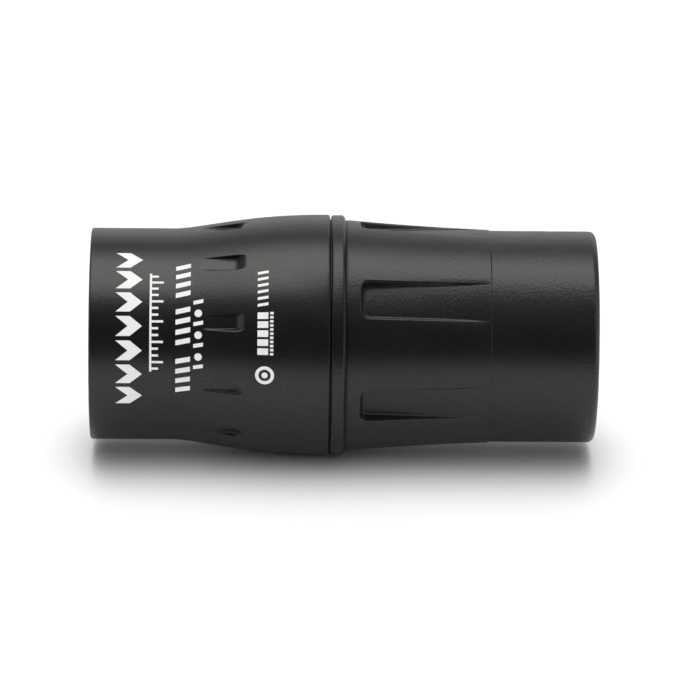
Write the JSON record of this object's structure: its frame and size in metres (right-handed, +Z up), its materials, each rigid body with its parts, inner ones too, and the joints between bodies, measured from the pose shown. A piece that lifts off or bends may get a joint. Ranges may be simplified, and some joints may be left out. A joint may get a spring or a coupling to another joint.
{
  "type": "in-line pressure regulator",
  "caption": "In-line preset pressure regulator for drip irrigation: flared plastic body with threaded sockets, finger recesses and grip grooves round a spring-loaded sliding plunger.",
  "frame": {"origin": "on the flow axis, half way between the two end faces", "axes": "+X along the flow from inlet to outlet, +Z up, -Y towards the side with the printed marks"},
  "size_m": [0.0834, 0.04, 0.04],
  "materials": {
    "housing_black": "fine-grained black moulding",
    "acetal_natural": "natural off-white moulding",
    "seal_rubber": "smooth moulded rubber",
    "spring_steel": "drawn stainless steel"
  },
  "bodies": {
    "housing": {"inlet_housing": "housing_black", "outlet_housing": "housing_black", "seat_spider": "acetal_natural", "seat_pad": "seal_rubber", "spider_clip": "spring_steel", "stem_o_ring": "seal_rubber", "stem_guide": "acetal_natural", "spring_washer_fixed": "spring_steel", "spring": "spring_steel"},
    "plunger": {"plunger": "acetal_natural", "piston_o_ring": "seal_rubber", "spring_washer_moving": "spring_steel"}
  },
  "joints": [
    {"name": "plunger_slide", "type": "slide", "parent": "housing", "child": "plunger", "axis": [-1, 0, 0], "range_m": [0, 0.0023], "deforming": ["spring"]}
  ]
}
